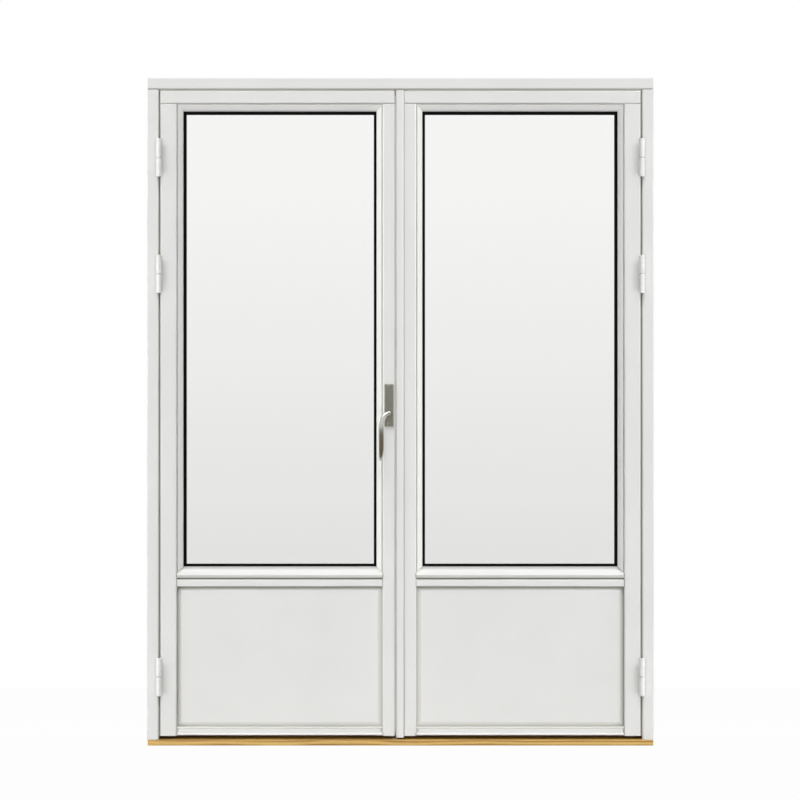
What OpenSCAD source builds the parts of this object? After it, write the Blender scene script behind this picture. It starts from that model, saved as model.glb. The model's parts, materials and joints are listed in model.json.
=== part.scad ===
// Pair of outward opening timber patio doors in their frame, seen from outside
// +Z is up, +Y runs into the building, the outside faces -Y
// The origin is the centre of the sill's underside, at mid frame depth

/* [Frame] */
// Overall frame width
frame_w = 1580; // [1380:10:1980]
// Overall frame height
frame_h = 2080; // [1880:10:2380]
// Frame depth, outside to inside
frame_d = 115; // [105:5:140]
// Width of jamb seen beside the leaf
jamb_face = 38; // [32:1:50]
// Height of head seen above the leaf
head_face = 36; // [30:1:50]
// How far the rebate stop reaches behind the leaf
stop_lap = 14; // [12:1:18]
// Round on the frame's inner front edges
frame_round = 6; // [2:0.5:8]
// How much shorter head and sill are than the frame, at each end
end_trim = 2.5; // [0:0.5:4]
// Gap between leaf edge and jamb
side_gap = 4; // [3:0.5:6]
// Gap between leaf top and head
top_gap = 5; // [4:0.5:8]
// Room for the weather seal between leaf and stop
seal_room = 4; // [3:0.5:6]
// Width of the frame's weather seal
seal_w = 10; // [6:1:11]
// Free room between a seal and the leaf it meets
seal_clear = 0.4; // [0.3:0.1:0.8]
// Thickness of the white seals in the gaps round the leaves
gap_seal_t = 3; // [2:0.5:5]
// Depth of the side gap seals behind the leaves' face
gap_seal_set = 12; // [4:0.5:15]
// Depth of the top gap seals behind the leaves' face
top_seal_set = 4; // [4:0.5:15]
// Free length of the top gap seals beside the meeting strip
top_seal_break = 5; // [4.5:0.5:8]

/* [Sill] */
// Height of the sill's front edge
sill_front_h = 17; // [14:1:20]
// Height of the sill's slope where it meets the stop
sill_back_h = 27; // [24:1:32]
// How far the sill stands out in front of the frame
sill_nose = 4.5; // [3:0.5:15]
// Bevel on the sill's front edge
sill_bevel = 2; // [0.5:0.5:2.5]
// Gap between the sill's highest slope and the leaf
bottom_gap = 3; // [3:0.5:6]

/* [Wall fixings] */
// Radius of a fixing hole through a jamb
fixing_r = 5.5; // [4:0.5:7]
// Distance of the outer fixing holes from the frame's ends
fixing_end = 250; // [150:10:400]
// Spacing of the middle pair of fixing holes
fixing_mid = 580; // [400:10:700]
// Distance of the fixing holes from the frame's inside face
fixing_inset = 27; // [20:1:32]

/* [Leaves] */
// Leaf thickness
leaf_t = 56; // [54:1:60]
// How far the leaf's face lies behind the frame's face
leaf_set = 1.5; // [0:0.5:4]
// Shift of the meeting line from the frame's centre
meet_shift = -3.3; // [-20:0.1:20]
// Face width of the hinge stile
hinge_stile_w = 52; // [45:1:80]
// Face width of the meeting stile
meet_stile_w = 39; // [38:0.5:60]
// Face height of the top rail
top_rail_h = 40; // [30:1:80]
// Height of the mid rail's lower edge above the sill's underside
mid_rail_z = 495; // [350:1:800]
// Face height of the mid rail
mid_rail_h = 22.5; // [16:0.5:80]
// Face height of the bottom rail
bottom_rail_h = 26.5; // [24:0.5:80]
// How far the bottom rail's underside lies above the stile ends
bottom_rail_lift = 2.5; // [0:0.5:5]
// Radius of the bottom rail's top edge
rail_round = 4; // [2:0.5:5]
// Depth of the hollow in the bottom rail's face
rail_hollow = 2; // [1:0.5:4]
// Height of the bottom rail's drip
rail_drip_h = 7.5; // [6:0.5:9]
// Length of the slope at each end of the hollow
rail_end_w = 9; // [4:0.5:12]
// Depth of that slope beside the stile
rail_end_depth = 4; // [2:0.5:6]
// Thickness of the lip behind glass and panel
lip_t = 13; // [12:1:16]
// Round on the leaves' outer edges
leaf_round = 3; // [1:0.5:4]
// Round on the leaves' edges at glass and panel
glass_round = 5; // [1:0.5:5]
// Round on the leaves' meeting edges
meet_round = 4; // [1:0.5:5]
// How much a meeting edge is bevelled back over the leaf's thickness
meet_bevel = 3.2; // [3:0.1:5]
// Thickness of the lower panel
panel_t = 33; // [24:1:38]
// Width of the bevel round the panel's face
panel_bevel_w = 14; // [4:1:20]
// Depth of the bevel round the panel's face
panel_bevel_d = 5.5; // [2:0.5:8]
// How far rail lips reach behind the panel
panel_lap = 20; // [12:1:30]
// Clearance round the panel's edge
panel_clear = 0.5; // [0.2:0.1:2]

/* [Glazing] */
// Width of a glazing bead on the hinge side
bead_w = 20; // [16:0.5:26]
// Width of a glazing bead on the meeting side
meet_bead_w = 18.5; // [16:0.5:26]
// Height of the top glazing bead
top_bead_h = 24.5; // [16:0.5:30]
// Height of the weathered bottom bead
bottom_bead_h = 40.5; // [36:0.5:50]
// How far the beads lie behind the leaf's face
bead_set = 3; // [2:0.5:5]
// Quirk between bead and leaf
bead_quirk = 3; // [2:0.5:5]
// Fall of the bead's face towards the glass
bead_fall = 4; // [0.5:0.5:4.5]
// Width of the rounded edge of a bead at the glass
bead_edge = 4.5; // [2:0.5:6]
// Thickness of a bead where it meets the gasket
bead_thin = 1; // [0.5:0.5:2]
// How far the bottom bead's nose stands in front of the leaf
bead_nose = 4; // [2:0.5:6]
// Thickness of a pane
pane_t = 4; // [3:0.5:5]
// Space between the panes
pane_space = 16; // [12:1:17]
// Thickness of a glazing gasket
gasket_t = 3; // [2:0.5:4]
// Width of gasket seen on the glass
gasket_show = 10; // [4:0.5:12]
// Width of the gasket seen at the meeting side and the foot of the glass
gasket_show_low = 8.5; // [4:0.5:12]
// Clearance round the glass unit's edge
glass_clear = 4; // [3:0.5:6]
// Width of the spacer bar with its sealant
spacer_w = 12; // [8:1:15]

/* [Meeting strip] */
// Width of the astragal between the leaves
astragal_w = 25; // [25:0.5:40]
// Gap between astragal and active leaf
meet_gap = 2.5; // [2.4:0.1:4]
// Round on the astragal's front edges
astragal_round = 4; // [2:0.5:6]
// How far the astragal stands above the leaves
astragal_rise = 3; // [0:0.5:3.5]
// Gap between astragal and sill
astragal_gap = 7; // [5:0.5:10]
// Thickness of the strip seal in the meeting gap
strip_t = 1.8; // [0.5:0.1:1.9]
// Width of the strip seal in the meeting gap
strip_w = 4; // [3:0.5:8]
// Depth of the strip seal behind the leaves' face
strip_set = 4.5; // [4:0.5:14]

/* [Hinges] */
// Height of a hinge, both knuckles
hinge_h = 119; // [90:1:130]
// Radius of a hinge knuckle
hinge_r = 9; // [8:0.5:11]
// Free room between knuckle and frame
hinge_clear = 0.5; // [0.3:0.1:2]
// Thickness of a hinge plate
wing_t = 2.5; // [2:0.5:3]
// Reach of a hinge plate from the pin into the gap
wing_reach = 45; // [35:1:50]
// Distance from the frame's top to the top hinge
hinge_from_top = 248; // [180:1:300]
// Distance from the top hinge to the second hinge
hinge_step = 363; // [250:1:450]
// Height of the bottom hinge
hinge_low_z = 213; // [160:1:300]
// Radius of a hinge pin
pin_r = 4.5; // [4:0.25:5.5]
// Length of a hinge pin in each knuckle
pin_half = 45; // [30:1:50]
// Running clearance round a hinge pin
pin_clear = 0.06; // [0.03:0.01:0.09]
// Thickness of the collar between the knuckles
collar_t = 1.6; // [1:0.1:3]
// Running clearance over the collar
collar_clear = 0.1; // [0.05:0.05:0.3]
// Free room at a pin's end
pin_end = 0.5; // [0.2:0.1:2]
// Bevel on a knuckle's ends
hinge_ease = 1.5; // [0.5:0.25:2.5]

/* [Handle] */
// Height of the handle's pivot
handle_z = 1036; // [900:1:1150]
// Distance of the pivot from the active leaf's edge
backset = 18.5; // [17.5:0.1:19.5]
// Width of the handle plates
plate_w = 29; // [26:0.5:29]
// Height of the handle plates
plate_h = 133.5; // [125:0.5:160]
// How far the plates reach below the pivot
plate_drop = 43.5; // [42:0.5:60]
// Thickness of the handle plates
plate_t = 8; // [6:0.5:9]
// Distance of the plate screws from the plate's ends
plate_screw_end = 8; // [6:0.5:10]
// Radius of a plate screw
plate_screw_r = 2; // [1.5:0.25:2.5]
// Radius of the lever's hub
hub_r = 8; // [7:0.5:8]
// Free room round the lever's hub
hub_clear = 0.3; // [0.2:0.1:0.6]
// Sideways offset of the grip from the pivot
grip_offset = 24; // [20:1:30]
// Drop of the elbow below the pivot
elbow_drop = 23; // [18:1:28]
// Reach of the grip's end below the pivot
grip_reach = 149; // [110:1:160]
// Width of the grip
grip_w = 18; // [14:0.5:20]
// Thickness of the grip as a share of its width
grip_flat = 0.7; // [0.6:0.05:1]
// Length of the grip's tapering end
grip_taper = 34; // [20:1:50]
// Radius of the grip's tip
grip_tip_r = 5; // [4:0.5:7]
// Distance of the outer grip from the leaf's face
grip_out = 40; // [34:1:50]
// Distance of the inner grip from the leaf's inside
grip_in = 36; // [34:1:38]
// Side of the square spindle
spindle_s = 6; // [5:0.5:6.5]

/* [Lock] */
// Module of the lock's teeth
gear_module = 0.8; // [0.75:0.05:0.85]
// Teeth on the pinion
gear_teeth = 16; // [16:2:16]
// Width of the pinion
gear_w = 8; // [5:0.5:9]
// Play between meshing teeth
tooth_play = 0.25; // [0.15:0.05:0.35]
// Thickness of a lock rod
rod_t = 4; // [3:0.5:4]
// Width of a lock rod
rod_w = 10; // [8:0.5:11]
// Radius of a rod's bolt end
rod_bolt_r = 3.5; // [3:0.1:3.6]
// Free room round a rod
rod_clear = 0.4; // [0.3:0.1:0.6]
// Wall of the lock case
case_wall = 1.5; // [1:0.25:2]
// Clearance of the lock case in its mortise
case_clear = 0.2; // [0.1:0.1:0.5]
// Thickness of the edge faceplate
faceplate_t = 2.5; // [2:0.25:2.5]
// Width of the edge faceplate
faceplate_w = 16; // [14:1:20]
// Distance of the faceplate's ends from the leaf's ends
faceplate_end = 90; // [70:5:200]
// How far the rods' ends stand out of the leaf when withdrawn
rod_out = 0; // [0:0.1:0.3]
// How far the lower rod stands out of the leaf when withdrawn
rod_low_out = 3.5; // [3:0.25:5]

/* [Flush bolts] */
// Radius of a flush bolt
bolt_r = 4; // [3.5:0.1:4.5]
// Free room round a flush bolt
bolt_clear = 0.35; // [0.3:0.05:0.6]
// Length of a flush bolt
bolt_len = 201; // [120:1:300]
// Travel of a flush bolt
bolt_throw = 14; // [10:1:16]
// Height of a flush bolt's finger tab
tab_h = 18; // [14:1:24]
// Thickness of a flush bolt's edge plate
bolt_plate_t = 2; // [1.5:0.25:2.5]
// Width of a flush bolt's edge plate
bolt_plate_w = 18; // [14:1:22]
// Length of edge plate beyond its slot, at each end
bolt_plate_over = 20; // [12:1:30]
// Outer radius of a strike bush
bush_r = 8; // [7.5:0.25:9]
// Bore radius of a strike bush
bush_bore_r = 5.5; // [5:0.25:6]
// Depth of a strike bush
bush_depth = 16; // [14:0.5:18]
// Clearance of a strike bush in the wood
bush_clear = 0.05; // [0.02:0.01:0.1]
// Wood left under a sill bush
bush_floor = 6; // [4:0.5:8]

/* [Hidden] */
$fn = 48;
cut = 1;
joint_in = 2;
paint = "whitesmoke";
oak = "goldenrod";
steel = "silver";
rubber = "dimgray";

// Depths, outside to inside
front_y = -frame_d / 2;
back_y = frame_d / 2;
leaf_y0 = front_y + leaf_set;
leaf_y1 = leaf_y0 + leaf_t;
leaf_mid_y = (leaf_y0 + leaf_y1) / 2;
stop_y = leaf_y1 + seal_room;
lip_y = leaf_y1 - lip_t;
inner_pane_y = lip_y - gasket_t - pane_t;
outer_pane_y = inner_pane_y - pane_space - pane_t;
bead_back_y = outer_pane_y - gasket_t;
bead_front_y = leaf_y0 + bead_set;
bead_sight_y = bead_back_y - bead_thin;

// Widths from the frame's centre
jamb_edge = frame_w / 2 - jamb_face;
leaf_edge = jamb_edge - side_gap;
stop_edge = leaf_edge - stop_lap;
active_edge = meet_shift - (astragal_w + meet_gap) / 2;
astragal_x0 = active_edge + meet_gap;
passive_edge = astragal_x0 + astragal_w;
active_w = leaf_edge + active_edge;
passive_w = leaf_edge - passive_edge;

// Heights
head_z = frame_h - head_face;
leaf_z0 = sill_back_h + bottom_gap;
leaf_z1 = head_z - top_gap;
rebate_z1 = leaf_z1 - top_rail_h;
rebate_z0 = mid_rail_z + mid_rail_h;
sight_z1 = rebate_z1 - top_bead_h;
sight_z0 = rebate_z0 + bottom_bead_h;
bottom_rail_z0 = leaf_z0 + bottom_rail_lift;
bottom_rail_z1 = bottom_rail_z0 + bottom_rail_h;
sill_stop_z = leaf_z0 + stop_lap;
sill_y0 = front_y - sill_nose;
sill_fall = (sill_back_h - sill_front_h) / (stop_y - sill_y0);
hinge_zs = [frame_h - hinge_from_top, frame_h - hinge_from_top - hinge_step, hinge_low_z];
fixing_zs = [
    fixing_end, (frame_h - fixing_mid) / 2, (frame_h + fixing_mid) / 2, frame_h - fixing_end
];

// Hinge pin line
pin_x = jamb_edge;
pin_y = front_y - hinge_r - hinge_clear;
wing_y = pin_y + wing_reach;

// Handle and lock
pivot_x = active_edge - backset;
gear_r = gear_module * gear_teeth / 2;
gear_tip_r = gear_r + gear_module;
gear_root_r = gear_r - 1.25 * gear_module;
pressure_angle = 20;
gear_base_r = gear_r * cos(pressure_angle);
rack_pitch = PI * gear_module;
rack_add = 0.75 * gear_module;
rack_ded = 1.25 * gear_module;
rod_throw = gear_r * PI / 2;
rod_x = pivot_x + gear_r + rack_ded + rod_t / 2;
rack_left_x = pivot_x - gear_r - rack_ded - rod_t / 2;
edge_back = meet_bevel * (leaf_t + faceplate_w) / (2 * leaf_t);
faceplate_out = active_edge - edge_back;
faceplate_x = faceplate_out - faceplate_t;
rod_skin = 1.1;
rod_bolt_x = faceplate_x - rod_skin - rod_clear - rod_bolt_r;
rack_half = 14;
jog_z = handle_z + gear_tip_r + rod_throw + 8;
jog_h = 8;
case_z0 = handle_z - rack_half - 2 * gear_tip_r + 3;
case_z1 = jog_z + jog_h + rod_throw + 6;
case_x0 = rack_left_x - rod_t / 2 - rod_clear - case_wall;
case_half_y = rod_w / 2 + rod_clear + 2 + case_wall;
groove_z0 = leaf_z0 + faceplate_end + 5;
groove_z1 = leaf_z1 - faceplate_end - 5;
rod_bar_end = rod_throw + 10;
plate_z0 = handle_z - plate_drop;
plate_z1 = plate_z0 + plate_h;
screw_zs = [plate_z0 + plate_screw_end, plate_z1 - plate_screw_end];
spindle_fit = 0.05;

// Flush bolts
bolt_x = astragal_x0 + (astragal_w + meet_bevel / 2) / 2;
bolt_plate_x = astragal_x0 + meet_bevel * (leaf_t + bolt_plate_w) / (2 * leaf_t);
bolt_top_z = leaf_z1 + rod_out;
bolt_low_z = astragal_low(leaf_mid_y) + 1;
top_tab_z = bolt_top_z - bolt_len;
low_tab_z = bolt_low_z + bolt_len - tab_h - bolt_throw;
tab_w = 2 * bolt_r;
tab_inset = 1;

// Height of the sill's slope at a depth
function sill_z(y) = sill_front_h + (y - sill_y0) * sill_fall;
// Height of the astragal's foot at a depth, parallel to the sill
function astragal_low(y) = sill_z(y) + astragal_gap;
// Points on an arc about a centre
function arc(c, r, a0, a1, n = 8) = [
    for (i = [0:n]) c + r * [cos(a0 + (a1 - a0) * i / n), sin(a0 + (a1 - a0) * i / n)]
];

// Outside of a round at a corner: the corner is the origin, the wood lies along +X and +Y
module corner_cut(r) {
    difference() {
        translate([-cut, -cut]) square(r + cut);
        translate([r, r]) circle(r);
    }
}

// Rectangle with rounded corners, lower left corner at the origin
module round_rect(w, h, r) {
    translate([r, 0]) square([w - 2 * r, h]);
    translate([0, r]) square([w, h - 2 * r]);
    for (x = [r, w - r], y = [r, h - r]) translate([x, y]) circle(r);
}

// Box from two corners
module box(a, b) {
    translate(a) cube(b - a);
}

// Bar along X from a section drawn in depth and height
module bar_x(x0, x1) {
    translate([x0, 0, 0]) rotate([90, 0, 90]) linear_extrude(x1 - x0) children();
}

// Plate across Y from an outline drawn in width and height
module plate_y(y0, y1) {
    translate([0, y1, 0]) rotate([90, 0, 0]) linear_extrude(y1 - y0) children();
}

// Flat ring across Y between two rectangles
module ring_y(y0, y1, outer, inner) {
    plate_y(y0, y1) difference() {
        translate(outer[0]) square(outer[1] - outer[0]);
        translate(inner[0]) square(inner[1] - inner[0]);
    }
}

// Frame

module sill_section() {
    polygon([
        [sill_y0, 0], [sill_y0, sill_front_h - sill_bevel], [sill_y0 + sill_bevel, sill_z(sill_y0 + sill_bevel)],
        [stop_y, sill_back_h], [stop_y, sill_stop_z], [back_y, sill_stop_z], [back_y, 0]
    ]);
}

module frame_head() {
    half = frame_w / 2 - end_trim;
    color(paint) difference() {
        union() {
            bar_x(-half, half) difference() {
                translate([front_y, head_z]) square([frame_d, head_face]);
                translate([front_y, head_z]) corner_cut(frame_round);
                translate([front_y, frame_h]) mirror([0, 1]) corner_cut(leaf_round);
            }
            box([-stop_edge, stop_y, leaf_z1 - stop_lap], [stop_edge, back_y, head_z + joint_in]);
        }
        for (x = [rod_bolt_x, bolt_x]) translate([x, leaf_mid_y, head_z - cut])
            cylinder(r = bush_r + bush_clear, h = bush_depth + cut);
    }
}

module jamb_section() {
    difference() {
        union() {
            translate([-frame_w / 2, front_y]) square([jamb_face, frame_d]);
            translate([-frame_w / 2, stop_y]) square([frame_w / 2 - stop_edge, back_y - stop_y]);
        }
        translate([-jamb_edge, front_y]) mirror([1, 0]) corner_cut(frame_round);
        translate([-frame_w / 2, front_y]) corner_cut(leaf_round);
    }
}

module jamb() {
    difference() {
        linear_extrude(head_z) jamb_section();
        bar_x(-frame_w, 0) union() {
            sill_section();
            translate([sill_y0 - cut, -cut]) square([frame_d + sill_nose + 2 * cut, cut + sill_bevel]);
        }
        for (z = hinge_zs)
            box([-pin_x - wing_t, front_y - cut, z - hinge_h / 2], [-pin_x + cut, wing_y, z - collar_t / 2]);
        for (z = fixing_zs) translate([-frame_w / 2 - cut, back_y - fixing_inset, z]) rotate([0, 90, 0])
            cylinder(r = fixing_r, h = frame_w / 2 - stop_edge + 2 * cut);
    }
}

module left_jamb() {
    color(paint) jamb();
}

module right_jamb() {
    color(paint) mirror([1, 0, 0]) jamb();
}

module oak_sill() {
    half = frame_w / 2 - end_trim;
    color(oak) difference() {
        bar_x(-half, half) sill_section();
        for (x = [rod_bolt_x, bolt_x]) translate([x, leaf_mid_y, bush_floor])
            cylinder(r = bush_r + bush_clear, h = sill_stop_z);
    }
}

module frame_seal() {
    outer = leaf_edge - (stop_lap - seal_w) / 2;
    high = leaf_z1 - (stop_lap - seal_w) / 2;
    low = leaf_z0 + (stop_lap - seal_w) / 2;
    color(rubber) ring_y(
        leaf_y1 + seal_clear, stop_y, [[-outer, low], [outer, high]],
        [[-outer + seal_w, low + seal_w], [outer - seal_w, high - seal_w]]
    );
}

// White strips in the gaps: one on each jamb, and one on the head, notched over the meeting strip
module gap_seals() {
    side_y = leaf_y0 + gap_seal_set;
    top_y = leaf_y0 + top_seal_set;
    notch_w = astragal_w + 2 * top_seal_break;
    color("white") {
        for (m = [0, 1]) mirror([m, 0, 0]) box(
            [-jamb_edge, side_y, leaf_z0], [-leaf_edge - seal_clear, side_y + gap_seal_t, head_z]
        );
        plate_y(top_y, top_y + gap_seal_t) difference() {
            translate([-jamb_edge, leaf_z1 + seal_clear]) square([2 * jamb_edge, top_gap - seal_clear]);
            translate([astragal_x0 - top_seal_break, leaf_z1]) square([notch_w, astragal_rise + seal_clear]);
        }
    }
}

module bush(h) {
    difference() {
        cylinder(r = bush_r, h = h);
        translate([0, 0, -cut]) cylinder(r = bush_bore_r, h = h + 2 * cut);
    }
}

module head_strikes() {
    color(steel) for (x = [rod_bolt_x, bolt_x]) translate([x, leaf_mid_y, head_z]) bush(bush_depth);
}

module sill_strikes() {
    color(steel) for (x = [rod_bolt_x, bolt_x]) intersection() {
        translate([x, leaf_mid_y, bush_floor]) bush(sill_stop_z);
        bar_x(x - 2 * bush_r, x + 2 * bush_r) sill_section();
    }
}

// Hinges, drawn for the left side

// Turned knuckle with bevelled ends
module knuckle(z0, z1) {
    translate([-pin_x, pin_y, 0]) rotate_extrude() polygon([
        [0, z0], [hinge_r - hinge_ease, z0], [hinge_r, z0 + hinge_ease],
        [hinge_r, z1 - hinge_ease], [hinge_r - hinge_ease, z1], [0, z1]
    ]);
}

module pin_line(z0, z1, r) {
    translate([-pin_x, pin_y, z0]) cylinder(r = r, h = z1 - z0);
}

module frame_hinge(z) {
    top = z - collar_t / 2;
    difference() {
        union() {
            knuckle(z - hinge_h / 2, top);
            box([-pin_x - wing_t, pin_y, z - hinge_h / 2], [-pin_x, wing_y, top]);
        }
        pin_line(z - pin_half, top + cut, pin_r + pin_clear);
    }
}

module leaf_hinge(z) {
    foot = z + collar_t / 2 + collar_clear;
    difference() {
        union() {
            knuckle(foot, z + hinge_h / 2);
            box([-leaf_edge, pin_y, foot], [-leaf_edge + wing_t, wing_y, z + hinge_h / 2]);
        }
        pin_line(foot - cut, z + pin_half + pin_end, pin_r + pin_clear);
    }
}

module hinge_pin(z) {
    collar_r = (pin_r + hinge_r) / 2;
    pin_line(z - pin_half, z + pin_half, pin_r);
    pin_line(z - collar_t / 2, z + collar_t / 2, collar_r);
}

module left_frame_hinges() {
    color(paint) for (z = hinge_zs) frame_hinge(z);
}

module right_frame_hinges() {
    color(paint) mirror([1, 0, 0]) for (z = hinge_zs) frame_hinge(z);
}

module left_hinge_pins() {
    color(steel) for (z = hinge_zs) hinge_pin(z);
}

module right_hinge_pins() {
    color(steel) mirror([1, 0, 0]) for (z = hinge_zs) hinge_pin(z);
}

module active_hinges() {
    color(paint) for (z = hinge_zs) leaf_hinge(z);
}

module passive_hinges() {
    color(paint) mirror([1, 0, 0]) for (z = hinge_zs) leaf_hinge(z);
}

// Leaves, drawn from the hinge edge at x = 0 to the meeting edge at x = w

module on_active() {
    translate([-leaf_edge, 0, 0]) children();
}

module on_passive() {
    mirror([1, 0, 0]) translate([-leaf_edge, 0, 0]) children();
}

function glass_x0() = hinge_stile_w;
function glass_x1(w) = w - meet_stile_w;
function sight_x0() = hinge_stile_w + bead_w;
function sight_x1(w) = w - meet_stile_w - meet_bead_w;

// Outline of a leaf seen from above, with its meeting edge bevelled back
module leaf_plan(w, bevel) {
    difference() {
        polygon([[0, leaf_y0], [w, leaf_y0], [w - bevel, leaf_y1], [0, leaf_y1]]);
        translate([0, leaf_y0]) corner_cut(leaf_round);
        translate([w, leaf_y0]) mirror([1, 0]) corner_cut(meet_round);
    }
}

module hinge_stile() {
    difference() {
        translate([0, 0, leaf_z0]) linear_extrude(rebate_z1 - leaf_z0) difference() {
            union() {
                translate([0, leaf_y0]) square([hinge_stile_w, leaf_t]);
                translate([0, lip_y]) square([sight_x0(), lip_t]);
            }
            translate([0, leaf_y0]) corner_cut(leaf_round);
            translate([hinge_stile_w, leaf_y0]) mirror([1, 0]) corner_cut(glass_round);
        }
        for (z = hinge_zs)
            box([-cut, leaf_y0 - cut, z + collar_t / 2 + collar_clear], [wing_t, wing_y, z + hinge_h / 2]);
        stile_top_ease(hinge_stile_w);
    }
}

// Bevel on a stile's end, under the top rail
module stile_top_ease(w) {
    translate([-cut, leaf_y0, rebate_z1]) rotate([45, 0, 0])
        translate([0, -leaf_round / 2, -leaf_round / 2]) cube([w + 2 * cut, leaf_round, leaf_round]);
}

module meeting_stile(w, bevel) {
    difference() {
        translate([0, 0, leaf_z0]) linear_extrude(rebate_z1 - leaf_z0) difference() {
            intersection() {
                leaf_plan(w, bevel);
                union() {
                    translate([glass_x1(w), leaf_y0]) square([meet_stile_w, leaf_t]);
                    translate([sight_x1(w), lip_y]) square([w - sight_x1(w), lip_t]);
                }
            }
            translate([glass_x1(w), leaf_y0]) corner_cut(glass_round);
        }
        translate([glass_x1(w), 0, 0]) stile_top_ease(meet_stile_w);
    }
}

module top_rail(w, bevel) {
    intersection() {
        union() {
            bar_x(0, w) difference() {
                translate([leaf_y0, rebate_z1]) square([leaf_t, top_rail_h]);
                translate([leaf_y0, rebate_z1]) corner_cut(glass_round);
                translate([leaf_y0, leaf_z1]) mirror([0, 1]) corner_cut(leaf_round);
            }
            box([sight_x0(), lip_y, sight_z1], [sight_x1(w), leaf_y1, rebate_z1 + joint_in]);
        }
        translate([0, 0, sight_z1]) linear_extrude(top_rail_h + top_bead_h) leaf_plan(w, bevel);
    }
}

module mid_rail(w) {
    bar_x(glass_x0(), glass_x1(w)) difference() {
        translate([leaf_y0, mid_rail_z]) square([lip_y - leaf_y0, mid_rail_h]);
        translate([leaf_y0, mid_rail_z]) corner_cut(leaf_round);
        translate([leaf_y0, rebate_z0]) mirror([0, 1]) corner_cut(leaf_round);
    }
    box([sight_x0(), lip_y, mid_rail_z - panel_lap], [sight_x1(w), leaf_y1, sight_z0]);
    rail_core(w, mid_rail_z, rebate_z0);
}

// Heart of a rail, where its front runs into its lip
module rail_core(w, z0, z1) {
    box([sight_x0(), lip_y - joint_in, z0 + joint_in], [sight_x1(w), lip_y + joint_in, z1 - joint_in]);
}

// Rounded top edge, hollow face and drip nose
module bottom_rail_section() {
    round_top = rail_round;
    hollow = rail_hollow;
    drip_h = rail_drip_h;
    drip_lip = 3;
    z0 = bottom_rail_z0;
    z1 = bottom_rail_z1;
    polygon(concat(
        [[lip_y, z0], [lip_y, z1]],
        arc([leaf_y0 + round_top, z1 - round_top], round_top, 90, 180),
        [
            [leaf_y0 + hollow, z1 - round_top - hollow], [leaf_y0 + hollow, z0 + drip_h],
            [leaf_y0 - bead_nose, z0 + drip_lip], [leaf_y0 - bead_nose, z0]
        ]
    ));
}

// Slope that sinks the hollow face at its end beside a stile
module rail_end_sink() {
    edge = 0.5;
    y1 = leaf_y0 + rail_hollow;
    low = bottom_rail_z0 + rail_drip_h + edge;
    high = bottom_rail_z1 - rail_round - rail_hollow - edge;
    translate([0, 0, low]) linear_extrude(high - low) polygon([
        [-cut, leaf_y0], [rail_end_w, leaf_y0], [rail_end_w, y1 - edge],
        [0, y1 + rail_end_depth], [-cut, y1 + rail_end_depth]
    ]);
}

module bottom_rail(w) {
    difference() {
        bar_x(glass_x0(), glass_x1(w)) bottom_rail_section();
        translate([glass_x0(), 0, 0]) rail_end_sink();
        translate([glass_x1(w), 0, 0]) mirror([1, 0, 0]) rail_end_sink();
    }
    box([sight_x0(), lip_y, bottom_rail_z0], [sight_x1(w), leaf_y1, bottom_rail_z1 + panel_lap]);
    rail_core(w, bottom_rail_z0, bottom_rail_z1);
}

// Panel with a bevel round its face
module panel(w) {
    x0 = glass_x0() + panel_clear;
    x1 = glass_x1(w) - panel_clear;
    z0 = bottom_rail_z1 + panel_clear;
    z1 = mid_rail_z - panel_clear;
    y0 = lip_y - panel_t;
    intersection() {
        box([x0, y0, z0], [x1, lip_y, z1]);
        translate([0, 0, z0]) linear_extrude(z1 - z0) panel_profile(x0, x1, y0);
        bar_x(x0, x1) rotate(90) mirror([0, 1]) panel_profile(z0, z1, y0);
    }
}

module panel_profile(a, b, y0) {
    polygon([
        [a, lip_y], [a, y0 + panel_bevel_d], [a + panel_bevel_w, y0],
        [b - panel_bevel_w, y0], [b, y0 + panel_bevel_d], [b, lip_y]
    ]);
}

// Bead section from the leaf's wall at x = 0 to the glass at x = w, with a rounded edge at the glass
module bead_section(w) {
    fall_y = bead_front_y + bead_fall;
    edge_d = bead_sight_y - fall_y;
    polygon(concat(
        [[0, bead_back_y], [0, bead_front_y + bead_quirk], [bead_quirk, bead_front_y]],
        [for (a = [0:15:90]) [w - bead_edge * (1 - sin(a)), fall_y + edge_d * (1 - cos(a))]],
        [[w, bead_back_y]]
    ));
}

// Weathered section of the bottom bead: hollow slope, nose and drip
module bottom_bead_section() {
    drip_gap = 5;
    foot = 2;
    nose_r = 3;
    nose = arc([leaf_y0 - bead_nose + nose_r, rebate_z0 + 13], nose_r, 120, 190);
    rise = sight_z0 - nose[0][1];
    flare = bead_sight_y - nose[0][0];
    polygon(concat(
        [[bead_back_y, rebate_z0], [bead_back_y, sight_z0]],
        [for (t = [0:0.125:0.875]) [bead_sight_y - flare * t * t, sight_z0 - rise * t]],
        nose,
        [
            [leaf_y0, rebate_z0 + drip_gap], [bead_back_y - foot, rebate_z0 + drip_gap],
            [bead_back_y - foot, rebate_z0]
        ]
    ));
}

module mitred(outline) {
    intersection() {
        children();
        plate_y(leaf_y0 - 2 * bead_nose, lip_y) polygon(outline);
    }
}

module bead_top(w) {
    x0 = glass_x0();
    x1 = glass_x1(w);
    mitred([[x0, rebate_z1], [x1, rebate_z1], [x1 - meet_bead_w, sight_z1], [x0 + bead_w, sight_z1]])
        translate([x0, 0, rebate_z1]) rotate([0, 90, 0]) linear_extrude(x1 - x0) bead_section(top_bead_h);
}

// Upright bead of a given width, at the hinge stile
module bead_side(bw) {
    x0 = glass_x0();
    x1 = x0 + bw;
    mitred([[x0, rebate_z1], [x1, sight_z1], [x1, sight_z0], [x0, sight_z0 - bw]])
        translate([x0, 0, rebate_z0]) linear_extrude(rebate_z1 - rebate_z0) bead_section(bw);
}

module bead_hinge() {
    bead_side(bead_w);
}

module bead_meeting(w) {
    translate([w + hinge_stile_w - meet_stile_w, 0, 0]) mirror([1, 0, 0]) bead_side(meet_bead_w);
}

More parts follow.
